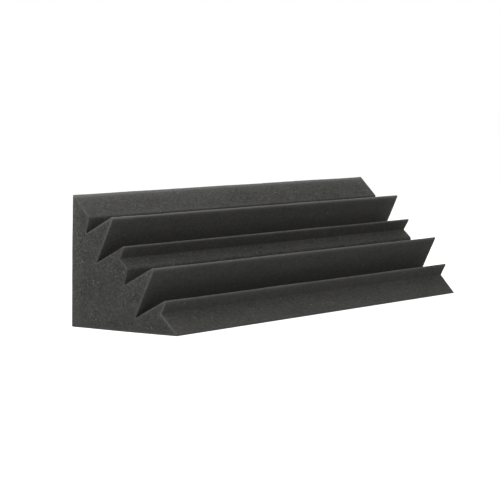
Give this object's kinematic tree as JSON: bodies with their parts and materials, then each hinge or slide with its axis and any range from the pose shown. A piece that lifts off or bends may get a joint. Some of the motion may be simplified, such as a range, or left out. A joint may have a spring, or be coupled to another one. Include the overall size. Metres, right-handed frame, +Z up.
{
  "type": "corner bass trap",
  "caption": "Long right-angled foam prism with a ridged front, which sticks into the edge between two walls to absorb low sound.",
  "frame": {"origin": "under the middle of the part's box, on the surface that it lies on", "axes": "+X along the corner line, +Y out of the upright wall face, so the ridged front looks towards -Y, and +Z up, away from the base face"},
  "size_m": [0.6, 0.1504, 0.1504],
  "materials": {
    "foam": "charcoal open-cell polyurethane foam, matt, with fine pores",
    "tape": "tacky acrylic adhesive on a thin tissue, slightly glossy",
    "liner": "smooth coated release paper"
  },
  "bodies": {
    "root": {"foam_body": "foam", "back_lower_tape": "tape", "back_upper_tape": "tape", "base_rear_tape": "tape", "base_front_tape": "tape", "back_lower_liner": "liner", "back_upper_liner": "liner", "base_rear_liner": "liner", "base_front_liner": "liner"}
  },
  "joints": []
}
